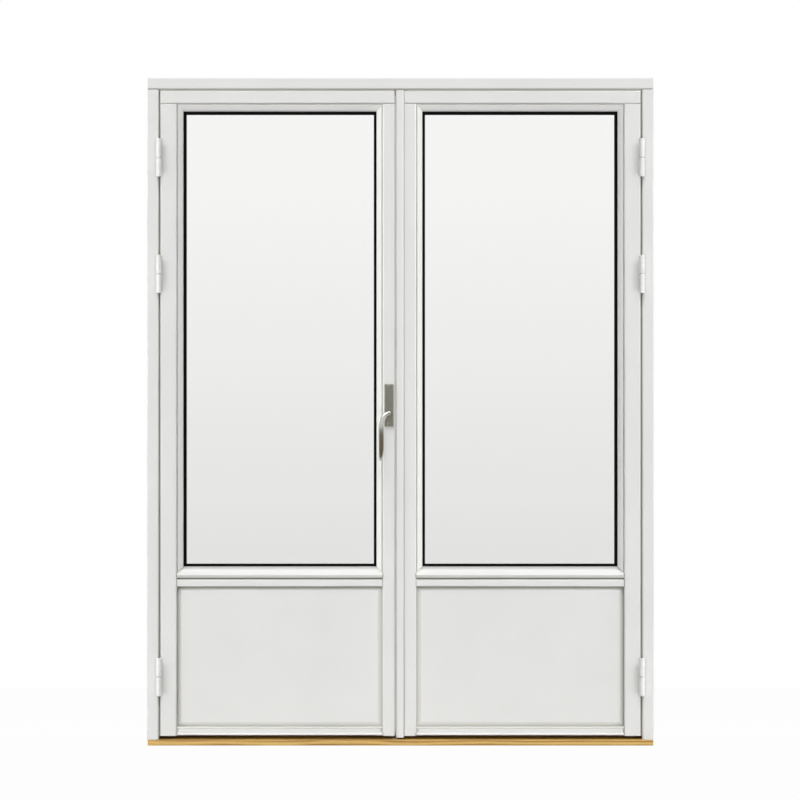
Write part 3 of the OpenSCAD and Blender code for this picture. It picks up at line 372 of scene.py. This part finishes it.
def grainNodes(tree, vector, fine, stretch):
    grain = tree.nodes.new("ShaderNodeGroup")
    grain.node_tree = brushGrain
    grain.inputs["Fine"].default_value = fine
    grain.inputs["Stretch"].default_value = stretch
    link(tree, vector, grain.inputs["Vector"])
    return grain


def valueRange(tree, value, low, high):
    span = tree.nodes.new("ShaderNodeMapRange")
    span.inputs["To Min"].default_value = low
    span.inputs["To Max"].default_value = high
    link(tree, value, span.inputs["Value"])
    return span.outputs[0]


def bumpInto(tree, height, bsdf, strength, distance):
    bump = tree.nodes.new("ShaderNodeBump")
    bump.inputs["Strength"].default_value = strength
    bump.inputs["Distance"].default_value = distance
    link(tree, height, bump.inputs["Height"])
    link(tree, bump.outputs[0], bsdf.inputs["Normal"])


finish = {
    "paint": {
        "light": 0.80, "dark": 0.775, "warm": 0.016, "rough": (0.36, 0.46), "sheen": 0.35,
        "grain": (420, 0.012), "bump": (0.10, 0.0004),
        # painted shade where surfaces meet: how dark, how warm and how far it reaches
        "creaseShade": 0.68, "creaseShadeWarm": 0.15, "creaseShadeReach": 0.011,
    },
    # painted shade: the level beads darken over edgeReach from their glass edge
    "beadTop": {"edge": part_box("active_bead_top")[0].z, "edgeReach": 0.009, "edgeShade": 0.70},
    "beadBottom": {"edge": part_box("active_bead_bottom")[1].z, "edgeReach": -0.013, "edgeShade": 0.56},
    "oak": {
        "pale": (0.72, 0.47, 0.14, 1), "mid": (0.55, 0.335, 0.09, 1), "dark": (0.31, 0.165, 0.04, 1),
        "rough": (0.42, 0.62), "grain": (260, 0.02), "bump": (0.2, 0.0006),
        "rings": 22, "ringStretch": (0.12, 1, 1), "grainShare": 0.55,
    },
    # painted reflection: the glass tint darkens towards the bottom
    "glass": {
        "top": (0.954, 0.955, 0.950, 1), "mid": (0.926, 0.928, 0.923, 1), "bottom": (0.884, 0.886, 0.881, 1),
        "footZ": 0.55, "headZ": 1.98, "midAt": 0.45, "topAt": 0.82,
    },
    "rubber": {"roughSpread": 0.08, "grain": (700, 0.3), "bump": (0.15, 0.0002)},
    "metal": {"grain": (1500, 0.03), "bump": (0.05, 0.0001)},
    "enamel": {"light": 0.82, "dark": 0.79, "rough": (0.22, 0.32), "grain": (90, 1.0), "bump": (0.04, 0.0003)},
}


def multiply(tree, colour, shade):
    mix = tree.nodes.new("ShaderNodeMix")
    mix.data_type = "RGBA"
    mix.blend_type = "MULTIPLY"
    mix.inputs[0].default_value = 1
    link(tree, colour, mix.inputs[6])
    link(tree, shade, mix.inputs[7])
    return mix.outputs[2]


def paintedGrooveShade(tree, colour, look):  # painted shade: the paint darkens where surfaces meet, standing in for the shade in grooves
    near = tree.nodes.new("ShaderNodeAmbientOcclusion")
    near.samples = 8
    near.inputs["Distance"].default_value = look["creaseShadeReach"]
    stops = [(0.2, grey(look["creaseShade"], look["creaseShadeWarm"])), (0.95, grey(1.0))]
    return multiply(tree, colour, toneRamp(tree, near.outputs["AO"], stops))


def edgeShade(tree, colour, look):  # painted shade: the level beads darken towards the glass
    span = heightSpan(tree, look["edge"], look["edge"] + look["edgeReach"])
    span.inputs["To Min"].default_value = look["edgeShade"]
    return multiply(tree, colour, span.outputs[0])


def blend(tree, value, dark, light):  # between two tones, along a noise
    return toneRamp(tree, value, [(0.3, dark), (0.7, light)])


def paintMaterial(name, turn, change="paint"):  # satin white paint, brushed along the wood, with painted shade where surfaces meet and, on the level beads, along the glass
    mat, tree, bsdf = newMaterial(name)
    look = {**finish["paint"], **finish[change]}
    vec = objectVector(tree, turn)
    grain = grainNodes(tree, vec, *look["grain"])
    tone = blend(tree, grain.outputs["Cloud"], grey(look["dark"], look["warm"]), grey(look["light"], look["warm"]))
    # painted shade where surfaces meet
    tone = paintedGrooveShade(tree, tone, look)
    # painted shade on the level beads along the glass
    if "edge" in look:
        tone = edgeShade(tree, tone, look)
    link(tree, tone, bsdf.inputs["Base Color"])
    link(tree, valueRange(tree, grain.outputs["Streak"], *look["rough"]), bsdf.inputs["Roughness"])
    bumpInto(tree, grain.outputs["Streak"], bsdf, *look["bump"])
    bsdf.inputs["Specular IOR Level"].default_value = look["sheen"]
    return mat


def oakMaterial():
    mat, tree, bsdf = newMaterial("oiledOak")
    look = finish["oak"]
    vec = objectVector(tree)
    grain = grainNodes(tree, vec, *look["grain"])
    rings = tree.nodes.new("ShaderNodeTexWave")
    rings.wave_type = "BANDS"
    rings.bands_direction = "Z"
    rings.inputs["Scale"].default_value = look["rings"]
    rings.inputs["Distortion"].default_value = 5
    rings.inputs["Detail"].default_value = 3
    rings.inputs["Detail Scale"].default_value = 1.2
    squash = tree.nodes.new("ShaderNodeMapping")
    squash.inputs["Scale"].default_value = look["ringStretch"]
    link(tree, vec, squash.inputs["Vector"])
    link(tree, squash.outputs[0], rings.inputs["Vector"])
    mixUp = tree.nodes.new("ShaderNodeMix")
    mixUp.inputs["Factor"].default_value = look["grainShare"]
    link(tree, rings.outputs["Fac"], mixUp.inputs["A"])
    link(tree, grain.outputs["Streak"], mixUp.inputs["B"])
    stops = [(0.22, look["dark"]), (0.45, look["mid"]), (0.72, look["pale"])]
    tone = toneRamp(tree, mixUp.outputs["Result"], stops)
    link(tree, tone, bsdf.inputs["Base Color"])
    link(tree, valueRange(tree, grain.outputs["Streak"], *look["rough"]), bsdf.inputs["Roughness"])
    bumpInto(tree, mixUp.outputs["Result"], bsdf, *look["bump"])
    return mat


def glassMaterial():  # clear float glass, its tint darker towards the bottom: a painted reflection of the surroundings
    mat, tree, bsdf = newMaterial("floatGlass")
    look = finish["glass"]
    span = heightSpan(tree, look["footZ"], look["headZ"])
    stops = [(0.0, look["bottom"]), (look["midAt"], look["mid"]), (look["topAt"], look["top"])]
    tone = toneRamp(tree, span.outputs[0], stops)
    link(tree, tone, bsdf.inputs["Base Color"])
    bsdf.inputs["Roughness"].default_value = 0.0
    bsdf.inputs["IOR"].default_value = 1.5
    bsdf.inputs["Transmission Weight"].default_value = 1.0
    return mat


def rubberMaterial(name, low, high, rough, sheen, warm=0.0):
    mat, tree, bsdf = newMaterial(name)
    look = finish["rubber"]
    bsdf.inputs["Specular IOR Level"].default_value = sheen
    vec = objectVector(tree)
    grain = grainNodes(tree, vec, *look["grain"])
    tone = blend(tree, grain.outputs["Cloud"], grey(low, warm), grey(high, warm))
    link(tree, tone, bsdf.inputs["Base Color"])
    ends = (rough - look["roughSpread"], rough + look["roughSpread"])
    link(tree, valueRange(tree, grain.outputs["Streak"], *ends), bsdf.inputs["Roughness"])
    bumpInto(tree, grain.outputs["Streak"], bsdf, *look["bump"])
    return mat


def metalMaterial(name, colour, dark, rough, turn=(0, 0, 0)):
    mat, tree, bsdf = newMaterial(name)
    look = finish["metal"]
    vec = objectVector(tree, turn)
    grain = grainNodes(tree, vec, *look["grain"])
    tone = blend(tree, grain.outputs["Streak"], dark, colour)
    link(tree, tone, bsdf.inputs["Base Color"])
    link(tree, valueRange(tree, grain.outputs["Streak"], *rough), bsdf.inputs["Roughness"])
    bumpInto(tree, grain.outputs["Streak"], bsdf, *look["bump"])
    bsdf.inputs["Metallic"].default_value = 1
    return mat


def enamelMaterial():
    mat, tree, bsdf = newMaterial("hingeEnamel")
    look = finish["enamel"]
    vec = objectVector(tree)
    grain = grainNodes(tree, vec, *look["grain"])
    tone = blend(tree, grain.outputs["Cloud"], grey(look["dark"]), grey(look["light"]))
    link(tree, tone, bsdf.inputs["Base Color"])
    link(tree, valueRange(tree, grain.outputs["Streak"], *look["rough"]), bsdf.inputs["Roughness"])
    bumpInto(tree, grain.outputs["Streak"], bsdf, *look["bump"])
    return mat


upright = (0, math.pi / 2, 0)  # turns the streaks from X to Z
mats = {
    "paintLevel": paintMaterial("whitePaintLevel", (0, 0, 0)),
    "paintUpright": paintMaterial("whitePaintUpright", upright),
    "beadTop": paintMaterial("whitePaintBeadTop", (0, 0, 0), "beadTop"),
    "beadBottom": paintMaterial("whitePaintBeadBottom", (0, 0, 0), "beadBottom"),
    "oak": oakMaterial(),
    "glass": glassMaterial(),
    "gasket": rubberMaterial("blackGasket", low=0.0025, high=0.0045, rough=0.7, sheen=0.04),
    "seal": rubberMaterial("greySeal", low=0.07, high=0.10, rough=0.6, sheen=0.3),
    "white_seal": rubberMaterial("whiteSeal", low=0.54, high=0.60, rough=0.6, sheen=0.3, warm=0.12),
    "spacer": metalMaterial(
        "spacerAluminium", colour=(0.62, 0.62, 0.62, 1), dark=(0.52, 0.52, 0.52, 1), rough=(0.35, 0.5),
    ),
    "nickel": metalMaterial(
        "satinNickel", colour=(0.55, 0.545, 0.50, 1), dark=(0.46, 0.455, 0.41, 1), rough=(0.17, 0.27), turn=upright,
    ),
    "white_metal": enamelMaterial(),
    "steel": metalMaterial(
        "zincSteel", colour=(0.46, 0.46, 0.47, 1), dark=(0.36, 0.36, 0.38, 1), rough=(0.30, 0.44), turn=upright,
    ),
}
print("finishes ready:", len(mats))


# CAD nodes get their finish, and the wood gets softened edges

levelWood = ("rail", "head")
# the level beads take a paint with painted shade along the glass
levelBead = {"bead_top": "beadTop", "bead_bottom": "beadBottom"}
softEdge = {"width": 0.0007, "segments": 2, "angle": 25, "weld": 0.00001}


def paintFor(name):
    for word, bead in levelBead.items():
        if word in name:
            return bead
    return "paintLevel" if any(word in name for word in levelWood) else "paintUpright"


def dressNode(name, slot):
    obj = nodes[name]
    lightUp(obj, obj["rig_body"])
    obj.data.materials.clear()
    obj.data.materials.append(mats[paintFor(name) if slot == "paint" else slot])
    if slot in ("paint", "oak"):
        weld = obj.modifiers.new("weld", "WELD")
        weld.merge_threshold = softEdge["weld"]
        bevel = obj.modifiers.new("softEdge", "BEVEL")
        bevel.width = softEdge["width"]
        bevel.segments = softEdge["segments"]
        bevel.limit_method = "ANGLE"
        bevel.angle_limit = math.radians(softEdge["angle"])
        bevel.harden_normals = False


for part in frame["record"]["subparts"]:
    dressNode(part["node"], part["material_slot"])
print("nodes dressed")


# pieces made here: levers and screws

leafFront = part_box("active_hinge_stile")[0].y
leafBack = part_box("active_hinge_stile")[1].y
pivot = Vector([j for j in frame["joints"] if j["name"] == "handle_turn"][0]["pos_m"])
sharpAngle = 0.7  # radians


def makePiece(bm, name, body, slotName):
    bmesh.ops.recalc_face_normals(bm, faces=bm.faces)
    for edge in bm.edges:
        edge.smooth = edge.is_manifold and edge.calc_face_angle() < sharpAngle
    for face in bm.faces:
        face.smooth = True
    mesh = bpy.data.meshes.new(name)
    bm.to_mesh(mesh)
    bm.free()
    mesh.materials.append(mats[slotName])
    obj = bpy.data.objects.new(name, mesh)
    scene.collection.objects.link(obj)
    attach(obj, body)
    lightUp(obj, body)
    return obj


def addRing(bm, centre, side, depth, count, square=1.0):  # oval ring, its corners fuller as square falls
    spread = Matrix.Identity(4)
    along = side.cross(depth).normalized()
    for column, axis in enumerate((side, depth, along, centre)):
        for row in range(3):
            spread[row][column] = axis[row]
    verts = bmesh.ops.create_circle(bm, segments=count, radius=1)["verts"]
    for v in verts:
        v.co.x = math.copysign(abs(v.co.x) ** square, v.co.x)
        v.co.y = math.copysign(abs(v.co.y) ** square, v.co.y)
    bmesh.ops.transform(bm, matrix=spread, verts=verts)
    return list({edge for v in verts for edge in v.link_edges})


def addLoft(bm, rings):
    for one, two in zip(rings, rings[1:]):
        bmesh.ops.bridge_loops(bm, edges=one + two)
    for end in (rings[0], rings[-1]):
        bmesh.ops.edgeloop_fill(bm, edges=end)


lever = {
    "segments": 32,
    "reach": 48,  # of the outer lever's solid from the leaf, in mm
    "base": 20,  # both hubs are alike up to here, in mm
    # how far out from the leaf, and radius, in mm
    "hub": [
        (1.5, 7.4), (8.6, 7.4), (9.5, 6.9), (12, 6.4), (26, 6.3),
        (32, 6.6), (36.5, 6.6), (39, 5.6), (40.3, 3.8), (40.8, 1.6),
    ],
    # sideways and down from the pivot, out from the leaf, half width, half depth, fullness, in mm
    "arm": [
        (4, -1.8, 33.5, 5.6, 5.0, 1), (-2, 0.8, 34.2, 6.2, 5.3, 0.95), (-7.5, 3.6, 35.2, 6.8, 5.5, 0.9),
        (-12.4, 7.2, 36.4, 7.4, 5.6, 0.85), (-16.4, 12, 37.8, 8.0, 5.6, 0.8), (-19.4, 18, 39.4, 8.4, 5.6, 0.75),
        (-21.6, 25, 41.1, 8.6, 5.5, 0.7), (-23, 33, 42.8, 8.6, 5.3, 0.66), (-23.8, 41, 44.2, 8.5, 5.1, 0.62),
        (-24, 49, 45.1, 8.4, 4.9, 0.58), (-24, 58, 45.4, 8.4, 4.8, 0.55), (-24, 72, 45, 8.4, 4.8, 0.5),
        (-24, 100, 43.6, 8.3, 4.7, 0.5), (-24.2, 116, 42.8, 8.0, 4.7, 0.55), (-24.9, 128, 42.0, 7.1, 4.6, 0.65),
        (-25.9, 138, 41.0, 5.7, 4.3, 0.8), (-26.6, 144, 40.2, 4.2, 3.6, 0.9), (-27, 147.3, 39.7, 2.6, 2.5, 1),
        (-27.2, 148.8, 39.5, 1.0, 1.0, 1),
    ],
}


def makeLever(name, node, face, way):
    bm = bmesh.new()
    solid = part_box(node)[0 if way < 0 else 1].y
    short = lever["reach"] - 1000 * way * (solid - face)  # a nearer lever has a shorter hub

    def standOff(out):
        return face + way * (out - (short if out > lever["base"] else 0)) / 1000

    hubRings = []
    for out, radius in lever["hub"]:
        centre = Vector((pivot.x, standOff(out), pivot.z))
        side, depth = Vector((radius / 1000, 0, 0)), Vector((0, 0, radius / 1000))
        hubRings.append(addRing(bm, centre, side, depth, lever["segments"]))
    addLoft(bm, hubRings)
    mid = [Vector((pivot.x + a / 1000, standOff(o), pivot.z - b / 1000)) for a, b, o, *rest in lever["arm"]]
    armRings = []
    for i, (a, b, out, wide, deep, full) in enumerate(lever["arm"]):
        along = (mid[min(i + 1, len(mid) - 1)] - mid[max(i - 1, 0)]).normalized()
        side = Vector((0, 1, 0)).cross(along).normalized()
        depth = along.cross(side).normalized()
        side, depth = side * (wide / 1000), depth * (deep / 1000)
        armRings.append(addRing(bm, mid[i], side, depth, lever["segments"], full))
    addLoft(bm, armRings)
    obj = makePiece(bm, name, "handle", "nickel")
    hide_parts(node)


makeLever("outerLeverForm", "outer_lever", leafFront, -1)
makeLever("innerLeverForm", "inner_lever", leafBack, 1)
print("levers ready")


# profile and cross are shares of the head's radius and rise
screwHead = {"segments": 20, "profile": ((1.0, -0.1), (1.0, 0.35), (0.8, 0.8), (0.42, 1.0))}
cross = {"long": 1.15, "wide": 0.34, "high": 0.3, "lift": 0.88}


def addHead(bm, at, out, radius, rise):  # domed screw head, standing on a face
    turn = out.to_track_quat("Z", "Y").to_matrix().to_4x4()
    place = Matrix.Translation(at) @ turn
    rings = []
    for share, lift in screwHead["profile"]:
        level = place @ Matrix.Translation((0, 0, rise * lift))
        circle = bmesh.ops.create_circle(bm, segments=screwHead["segments"], radius=radius * share, matrix=level)
        verts = circle["verts"]
        rings.append(list({edge for v in verts for edge in v.link_edges}))
    addLoft(bm, rings)
    return place


def addShadeCross(bm, place, radius, rise):  # painted shade: a dark cross just proud of the head stands in for the shade inside the recess
    for turn in (0, math.pi / 2):
        bar = bmesh.ops.create_cube(bm, size=1)["verts"]
        bmesh.ops.scale(bm, vec=(radius * cross["long"], radius * cross["wide"], rise * cross["high"]), verts=bar)
        bmesh.ops.rotate(bm, cent=(0, 0, 0), matrix=Matrix.Rotation(turn, 3, "Z"), verts=bar)
        bmesh.ops.transform(bm, matrix=place, verts=bar)


def makeScrews(name, body, slotName, spots, radius, rise):
    heads = bmesh.new()
    crossShades = bmesh.new()
    for at, out in spots:
        place = addHead(heads, Vector(at), Vector(out), radius, rise)
        addShadeCross(crossShades, place @ Matrix.Translation((0, 0, rise * cross["lift"])), radius, rise)
    makePiece(heads, name, body, slotName)
    makePiece(crossShades, name + "Recess", body, "gasket")


# painted shade: dark crosses on the plate stand in for its screws' recesses
plateScrew = {"radius": 0.004, "deep": 0.0006, "head": 0.004}
low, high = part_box("plate_screws")
bm = bmesh.new()
for z in (low.z + plateScrew["head"], high.z - plateScrew["head"]):
    for y, out in ((low.y, -1), (high.y, 1)):
        turn = Vector((0, out, 0)).to_track_quat("Z", "Y").to_matrix().to_4x4()
        place = Matrix.Translation((pivot.x, y, z)) @ turn
        addShadeCross(bm, place, plateScrew["radius"], plateScrew["deep"])
makePiece(bm, "plateScrewRecess", "active_leaf", "gasket")


wing = {
    "heights": (0.213, 1.469, 1.832), "reach": 0.0595,
    "inset": 0.009, "stagger": 0.010, "end": 0.010, "pitch": 0.0195,
}
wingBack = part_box("left_frame_hinges")[1].y


def hingeSpots(node, out, edge):  # three screws in each hinge wing
    spots = []
    for mid in wing["heights"]:
        top = mid + wing["reach"] if "frame" not in node else mid
        for k in range(3):
            y = wingBack - wing["inset"] - wing["stagger"] * (k % 2)
            spots.append(((edge, y, top - wing["end"] - wing["pitch"] * k), (out, 0, 0)))
    return spots


hingeScrew = {"radius": 0.0034, "rise": 0.0005}
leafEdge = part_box("active_hinge_stile")[0].x
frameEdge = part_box("gap_seals")[0].x
spots = hingeSpots("left_frame_hinges", 1, frameEdge) + hingeSpots("right_frame_hinges", -1, -frameEdge)
makeScrews("frameHingeScrews", "frame", "steel", spots, **hingeScrew)
spots = hingeSpots("active_hinges", -1, leafEdge)
makeScrews("activeHingeScrews", "active_leaf", "steel", spots, **hingeScrew)
spots = hingeSpots("passive_hinges", 1, -leafEdge)
makeScrews("passiveHingeScrews", "passive_leaf", "steel", spots, **hingeScrew)

faceScrew = {"count": 9, "end": 0.012, "radius": 0.0032, "rise": 0.0004}
low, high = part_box("edge_faceplate")
run = high.z - low.z - 2 * faceScrew["end"]
spots = []
for k in range(faceScrew["count"]):
    z = low.z + faceScrew["end"] + run * k / (faceScrew["count"] - 1)
    spots.append(((high.x, (low.y + high.y) / 2, z), (1, 0, 0)))
makeScrews("faceplateScrews", "active_leaf", "steel", spots, faceScrew["radius"], faceScrew["rise"])
print("screws ready")
